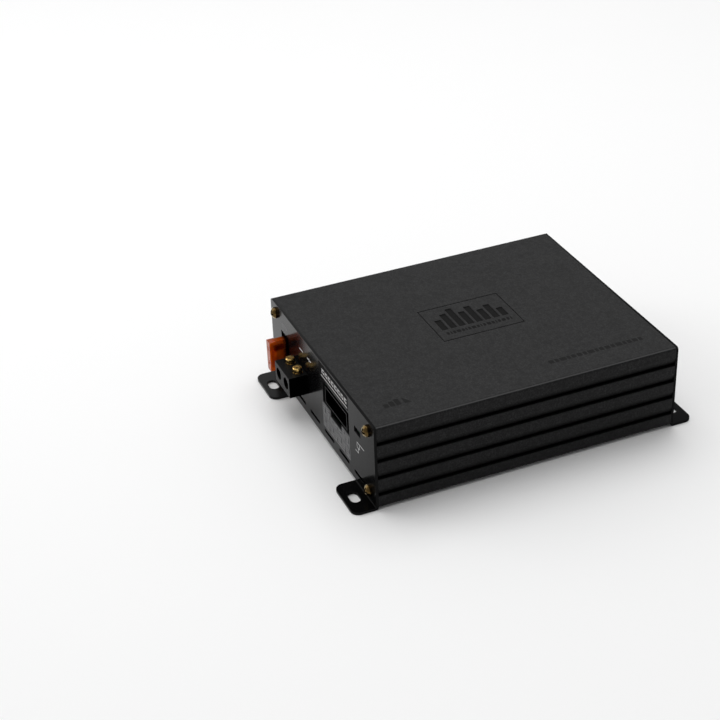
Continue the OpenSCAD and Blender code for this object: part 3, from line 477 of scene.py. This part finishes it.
def fuse_amber():
    """Clear amber that darkens to red where the body is thick, with a painted pool of light below
    its red window and painted shade darkening it towards the clips.
    """
    s = clear_plastic("fuse_amber", (0.66, 0.115, 0.005), 0.14, 0.62, (0.5, 0.06, 0.003), 0.12)
    lo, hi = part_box("fuse_body")

    def share(along, low, high):
        return s.maths("MULTIPLY", s.maths("SUBTRACT", along, low), 1 / (high - low), clamp=True)

    def zone(along, centre, half, sharp):
        away = s.maths("ABSOLUTE", s.maths("SUBTRACT", along, centre))
        return s.maths("MULTIPLY", s.maths("SUBTRACT", half, away), sharp, clamp=True)

    place = s.position()
    depth = share(place["Y"], lo.y, hi.y)
    height = share(place["Z"], lo.z, hi.z)
    # light pools below the red window moulded into the upper half
    glow = s.maths("MULTIPLY", zone(height, 0.56, 0.14, 9.0), zone(depth, 0.4, 0.24, 7.0))
    s.mix(glow, (0.9, 0.2, 0.006))
    window = s.maths("MULTIPLY", zone(height, 0.77, 0.13, 14.0), zone(depth, 0.46, 0.3, 9.0))
    s.mix(s.maths("MULTIPLY", window, 0.92), (0.2, 0.006, 0.001))
    # painted shade: the amber is painted near black towards the clips, where the holder keeps the
    # light out
    s.mix(zone(depth, 1.0, 0.34, 6.0), (0.01, 0.001, 0.0005))
    return s.grain(0.8 * MM, 0.02 * MM, (1, 0.4, 1)).done()


def soft_sheet(name, base, roughness, weave):
    """Thin film or pad with a fine cell pattern."""
    s = Surface(name, base, roughness)
    s.vary(5 * MM, 0.08).specks(1.1 * MM, 0.14, tuple(c * 0.6 for c in base))
    return s.grain(weave, 0.02 * MM, cells=True).done()


def printed(name, base, roughness, specular=0.4):
    """Screen-printed ink, a little thin and rough at its edges."""
    s = Surface(name, base, roughness, specular=specular)
    s.mix(s.maths("MULTIPLY", s.noise(0.5 * MM, 4.0), 0.5), tuple(c * 0.55 for c in base))
    s.shift_roughness(s.maths("SUBTRACT", s.noise(1.2 * MM), 0.5), 0.15)
    return s.grain(0.2 * MM, 0.006 * MM).done()


# ---------- mesh helpers ----------

def new_piece(name, bm, material, body, smooth=False):
    """Object made from bm, which rides on a body and takes its finish from a slot."""
    bmesh.ops.recalc_face_normals(bm, faces=bm.faces)
    mesh = bpy.data.meshes.new(name)
    bm.to_mesh(mesh)
    bm.free()
    piece = bpy.data.objects.new(name, mesh)
    bpy.context.collection.objects.link(piece)
    mesh.materials.append(material)
    if smooth:
        mesh.shade_smooth()
        mesh.set_sharp_from_angle(angle=math.radians(35))
    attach(piece, body)
    return piece


def add_slab(bm, outline, place, thick):
    """A thin plate: its 2D outline goes through place(u, v, height)."""
    low = [bm.verts.new(place(u, v, 0)) for u, v in outline]
    high = [bm.verts.new(place(u, v, thick)) for u, v in outline]
    bm.faces.new(high)
    bm.faces.new(list(reversed(low)))
    for i in range(len(outline)):
        j = (i + 1) % len(outline)
        bm.faces.new((low[i], low[j], high[j], high[i]))


def bar(u, v, width, height, r=0.0):
    """Outline of a bar centred on u, v, with its corners rounded by r."""
    if r <= 0:
        corners = ((-1, -1), (1, -1), (1, 1), (-1, 1))
        return [(u + a * width / 2, v + b * height / 2) for a, b in corners]
    points = []
    for a, b, start in ((1, -1, -90), (1, 1, 0), (-1, 1, 90), (-1, -1, 180)):
        cu, cv = u + a * (width / 2 - r), v + b * (height / 2 - r)
        for step in range(5):
            t = math.radians(start + 22.5 * step)
            points.append((cu + r * math.cos(t), cv + r * math.sin(t)))
    return points


def ring_bars(u, v, width, height, line):
    """Four bars that make a frame."""
    return [
        bar(u, v + height / 2 - line / 2, width, line),
        bar(u, v - height / 2 + line / 2, width, line),
        bar(u - width / 2 + line / 2, v, line, height - 2 * line),
        bar(u + width / 2 - line / 2, v, line, height - 2 * line),
    ]


def dashes(u0, u1, v, height, lengths, space):
    """A row of dashes of the given lengths in turn, from u0 to u1."""
    out, u, i = [], u0, 0
    while u + lengths[i % len(lengths)] <= u1:
        long = lengths[i % len(lengths)]
        out.append(bar(u + long / 2, v, long, height, min(long, height) * 0.2))
        u += long + space
        i += 1
    return out


def print_marks(name, outlines, place, material, thick):
    """Flat marks of one ink as one piece on the chassis, thick in millimetres."""
    bm = bmesh.new()
    for outline in outlines:
        add_slab(bm, outline, place, thick)
    return new_piece(name, bm, material, "chassis")


# ---------- pieces ----------

def threaded_screw(node, body, material):
    """A slotted grub screw with a real thread, in the place of a CAD cylinder."""
    lo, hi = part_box(node)
    centre = (lo + hi) / 2
    radius, tall = (hi.x - lo.x) / 2, hi.z - lo.z
    pitch, depth, land, around, rows = 0.8 * MM, 0.22 * MM, 2.3 * MM, 48, 72
    tip, rim = 0.9 * MM, 0.4 * MM
    slot_wide, slot_deep, slot_angle = 0.9 * MM, 1.3 * MM, 70
    bm = bmesh.new()
    rings = []
    for row in range(rows + 1):
        z = tall * row / rows
        ring = []
        for step in range(around):
            turn = step / around
            phase = (z / pitch - turn) % 1.0
            threaded = min(1.0, max(0.0, (tall - z - land) / rim))
            inset = depth * threaded * abs(phase * 2 - 1)
            taper = max(0.0, tip - z) + max(0.0, rim - (tall - z))
            r = radius - max(inset, min(taper, radius * 0.5))
            angle = 2 * math.pi * turn
            x, y = centre.x + r * math.cos(angle), centre.y + r * math.sin(angle)
            ring.append(bm.verts.new((x, y, lo.z + z)))
        rings.append(ring)
    for a, b in zip(rings, rings[1:]):
        for i in range(around):
            j = (i + 1) % around
            bm.faces.new((a[i], a[j], b[j], b[i]))
    bm.faces.new(list(reversed(rings[0])))
    bm.faces.new(rings[-1])
    piece = new_piece(node + "_thread", bm, material, body, smooth=True)
    cutter_bm = bmesh.new()
    bmesh.ops.create_cube(cutter_bm, size=1.0)
    bmesh.ops.scale(cutter_bm, vec=(radius * 4, slot_wide, slot_deep * 2), verts=cutter_bm.verts)
    slot_turn = Matrix.Rotation(math.radians(slot_angle), 3, "Z")
    bmesh.ops.rotate(cutter_bm, cent=(0, 0, 0), matrix=slot_turn, verts=cutter_bm.verts)
    bmesh.ops.translate(cutter_bm, vec=(centre.x, centre.y, hi.z), verts=cutter_bm.verts)
    carve(piece, cutter_bm)
    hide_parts(node)


def carve(piece, cutter_bm):
    """Cuts a shape out of a piece and keeps the result as its mesh."""
    mesh = bpy.data.meshes.new("cutter")
    cutter_bm.to_mesh(mesh)
    cutter_bm.free()
    cutter = bpy.data.objects.new("cutter", mesh)
    bpy.context.collection.objects.link(cutter)
    cut = piece.modifiers.new("cut", "BOOLEAN")
    cut.object = cutter
    cut.operation = "DIFFERENCE"
    cut.solver = "EXACT"
    bpy.context.view_layer.update()
    evaluated = piece.evaluated_get(bpy.context.evaluated_depsgraph_get())
    carved = bpy.data.meshes.new_from_object(evaluated)
    piece.modifiers.clear()
    piece.data = carved
    bpy.data.objects.remove(cutter)


def top_marks(ink, faint):
    """Generic level display in the sunk frame, and two rows of marks near the right edge."""
    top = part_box("housing")[1].z

    def on_top(height):
        # u runs along +Y and v along -X, so the marks read from the right side
        return lambda u, v, h: Vector((-v * MM, u * MM, top + (height + h) * MM))

    # the bars and the frame line fill the sunk shapes of the housing; they are placed from the
    # centre of the frame, a slack smaller than the hollows
    centre_u, centre_v, sunk, slack = 3.7, 3.75, -0.3, 0.1
    frame_wide, frame_tall, frame_line = 49.1, 35.2, 0.5
    levels = (11, 16, 20, 14, 18, 12, 15, 9)
    pitch, wide, foot = 5.25, 3.9, -6.6

    def centred(outlines):
        return [[(u + centre_u, v + centre_v) for u, v in outline] for outline in outlines]

    first = -(len(levels) - 1) * pitch / 2
    display = []
    for i, tall in enumerate(levels):
        display.append(bar(first + i * pitch, foot + tall / 2, wide - slack, tall - slack))
    display += ring_bars(0, 0, frame_wide, frame_tall, frame_line)
    print_marks("level_display_ink", centred(display), on_top(sunk), ink, thick=0.03)

    scale = dashes(-19.5, 20.5, v=-10.6, height=2.6, lengths=(1.5, 0.8, 1.5, 2.3), space=0.75)
    print_marks("level_scale_ink", centred(scale), on_top(0), ink, thick=0.01)

    # three rising bars and a wedge near the front, and a long row of dashes near the rear
    edge_foot, rising_from, rising_pitch, rising_wide = -59.4, -74.4, 3.3, 2.7
    wedge_u, wedge_wide, wedge_tall = -64.6, 3.8, 5.8
    marks = []
    for i, tall in enumerate((3.4, 4.6, 5.8)):
        middle = (rising_from + i * rising_pitch, edge_foot + tall / 2)
        marks.append(bar(*middle, rising_wide, tall, r=0.5))
    marks.append([
        (wedge_u, edge_foot), (wedge_u + wedge_wide, edge_foot), (wedge_u, edge_foot + wedge_tall),
    ])
    marks += dashes(19.5, 79, v=-57.2, height=3.1, lengths=(2.9, 2.1, 3.7, 1.7, 2.5), space=0.8)
    print_marks("top_edge_ink", marks, on_top(0), faint, thick=0.01)


def front_marks(ink, faint, band):
    """Generic pin table and the signs of the poles, the port and the fuse on the front."""
    socket_setback = 0.2 * MM
    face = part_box("harness_socket")[0].y - socket_setback
    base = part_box("housing")[0].z

    def on_front(u, v, h):
        return Vector((u * MM, face - (INK_GAP + h) * MM, base + v * MM))

    # dark band above the harness socket, with a row of angular signs and a line under them
    band_shape = [bar(19.6, 43.2, width=40.6, height=8.8, r=0.6)]
    print_marks("front_band", band_shape, on_front, band, thick=0.01)
    signs, first_sign, sign_pitch, roof_v = 8, 5.4, 4.45, 44.6
    bold = []
    for i in range(signs):
        u = first_sign + i * sign_pitch
        roof = bar(u, roof_v, 3.3, 0.85)
        post = bar(u - 1.1, roof_v - 1.2, 1.0, 2.6)
        tooth = bar(u + 0.9, roof_v - 1.9, 1.4, 1.3)
        bold += [roof, post, tooth]
    bold.append(bar(20.6, 40.2, width=36.4, height=0.6))
    # signs of the two poles: a minus and a plus
    minus_u, plus_u, poles_v, stroke = -27, -15.2, 39.3, 0.7
    bold.append(bar(minus_u, poles_v, 5.2, stroke))
    bold += [bar(plus_u, poles_v, 5.6, stroke), bar(plus_u, poles_v, stroke, 2.2)]
    # port sign: a plug outline with a bent lead below it, and a lead to the right
    port_u, plug_v, lead = 52.4, 24.9, 0.45
    bold += ring_bars(port_u, plug_v, 3.6, 3.4, 0.4)
    bold += [bar(port_u, plug_v - 3.1, lead, 2.8), bar(port_u - 2, plug_v - 4.5, 4.0, lead)]
    bold.append(bar(port_u + 5, plug_v + 1.7, 5.6, lead))
    print_marks("front_print", bold, on_front, ink, thick=0.03)

    # fuse sign: a framed body on a wire
    fuse_u, fuse_v = -52.8, 40.2
    notes = ring_bars(fuse_u, fuse_v, 6.5, 1.9, 0.35) + [bar(fuse_u, fuse_v, 9.5, 0.3)]
    notes += note_cells()
    print_marks("front_notes", notes, on_front, faint, thick=0.02)


def note_cells():
    """Two rows of cells with pin notes; the upper row is cut short where the latch notch is."""
    notch_lo, notch_hi = 13.5, 30.5
    first, pitch, cell_wide, line_tall = 5.2, 5.45, 5.0, 1.75
    longest, shorter_by, line_pitch = 3.5, 0.45, 1.45
    out = []
    for row, low in enumerate((15.9, 8.2)):
        for i in range(7):
            u = first + i * pitch
            lines = 2 if row == 0 and notch_lo < u < notch_hi else 4
            tall = lines * line_tall
            out += ring_bars(u, low + tall / 2, cell_wide, tall, 0.34)
            for line in range(lines):
                wide = longest - (i * 2 + line * 3 + row) % 4 * shorter_by
                out.append(bar(u - (longest - wide) / 2, low + 1.1 + line * line_pitch, wide, 0.7))
    return out


def rear_marks(ink):
    """Framed dashes above each rear socket and the status light."""
    sheet = 1.5 * MM
    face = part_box("rear_panel")[0].y + sheet
    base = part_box("housing")[0].z

    def on_rear(u, v, h):
        # u runs along -X, so that the marks read from behind
        return Vector((-u * MM, face + (INK_GAP + h) * MM, base + v * MM))

    out = []
    heights = {
        "line_out_sleeves": 32.2,
        "optical_socket": 26.6,
        "remote_socket": 29.4,
        "module_socket": 27.4,
    }
    for node, v in heights.items():
        lo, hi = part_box(node)
        u, wide = -(lo.x + hi.x) / 2 / MM, (hi.x - lo.x) / MM
        out += ring_bars(u, v, wide * 0.9, 3.2, 0.3)
        row = (u - wide * 0.36, u + wide * 0.38)
        out += dashes(*row, v, height=1.1, lengths=(1.6, 1.1, 2.1), space=0.7)
    lo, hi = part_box("status_light")
    out += ring_bars(-(lo.x + hi.x) / 2 / MM, 23, 3, 1.2, 0.3)
    print_marks("rear_print", out, on_rear, ink, thick=0.02)


# ---------- putting it together ----------

aim_camera()
build_studio()

gold = plated(
    "zinc_yellow", (0.44, 0.34, 0.155), 0.17, (1, 0.15, 1),
    wear=(0.72, 0.66, 0.48), painted_shade=(0.05, 0.025, 0.005),
)
brass = plated("machined_brass", (0.74, 0.49, 0.16), 0.24, (1, 1, 0.2), (0.9, 0.72, 0.38))
nickel = plated("nickel_steel", (0.55, 0.55, 0.56), 0.3, (1, 1, 0.3))
contact = plated("gilt_contact", (0.75, 0.56, 0.25), 0.2)
zinc = plated("zinc_stamping", (0.6, 0.6, 0.58), 0.36, (1, 0.2, 1))
mill = plated("mill_aluminium", (0.55, 0.56, 0.57), 0.38, (0.1, 1, 1), relief=0.01 * MM)
black_steel = plated("blacked_steel", (0.03, 0.03, 0.032), 0.42)

block = moulded(
    "block_plastic", (0.0048, 0.0048, 0.005), 0.34, 0.055, edge=0.45 * MM, shaded_walls=right_walls
)
socket = moulded("socket_plastic", (0.0045, 0.0045, 0.0048), 0.4, 0.06, shaded_walls=inner_walls)
resin = clear_plastic("light_resin", (0.75, 0.8, 0.85), 0.12, 0.8, (0.6, 0.66, 0.72))

LOOKS = {
    "housing_black": housing_coat(),
    "panel_black": panel_coat(),
    "cover_black": plain_coat(),
    "screw_black": black_steel,
    "screw_gold": gold,
    "brass_plain": brass,
    "steel_plain": nickel,
    "zinc_blade": zinc,
    "aluminium_plain": mill,
    "contact_gold": contact,
    "block_plastic": block,
    "socket_plastic": socket,
    "shutter_plastic": moulded("shutter_plastic", (0.028, 0.028, 0.032), 0.36),
    "chip_black": moulded("chip_body", (0.02, 0.02, 0.022), 0.55, 0.3, 0.03 * MM),
    "fuse_orange": fuse_amber(),
    "light_clear": resin.done(),
    "film_red": moulded("film_case", (0.35, 0.035, 0.02), 0.3, 0.5, 0.01 * MM),
    "board_green": circuit_board(),
    "ferrite_grey": ferrite(),
    "copper_wire": wound_wire(),
    "tape_yellow": wound_tape(),
    "sleeve_dark": sleeve(),
    "film_pale": soft_sheet("insulating_film", (0.6, 0.55, 0.36), 0.45, 1.5 * MM),
    "pad_grey": soft_sheet("thermal_pad", (0.26, 0.3, 0.34), 0.7, 0.9 * MM),
}

for part in frame["record"]["subparts"]:
    cad = NODES[part["node"]]
    cad.data.materials.clear()
    cad.data.materials.append(LOOKS[part["material_slot"]])

for side in ("left", "right"):
    threaded_screw("clamp_screw_" + side, "screw_" + side, brass)

dark_ink = printed("dark_ink", (0.0035, 0.0034, 0.0034), 0.5, 0.06)
faded_ink = printed("faded_ink", (0.0085, 0.0085, 0.0085), 0.55, 0.08)
white_ink = printed("white_ink", (0.56, 0.56, 0.56), 0.55, 0.2)
grey_ink = printed("grey_ink", (0.27, 0.27, 0.275), 0.55, 0.1)
band_ink = printed("band_ink", (0.003, 0.003, 0.0032), 0.45, 0.02)
top_marks(dark_ink, faded_ink)
front_marks(white_ink, grey_ink, band_ink)
rear_marks(white_ink)
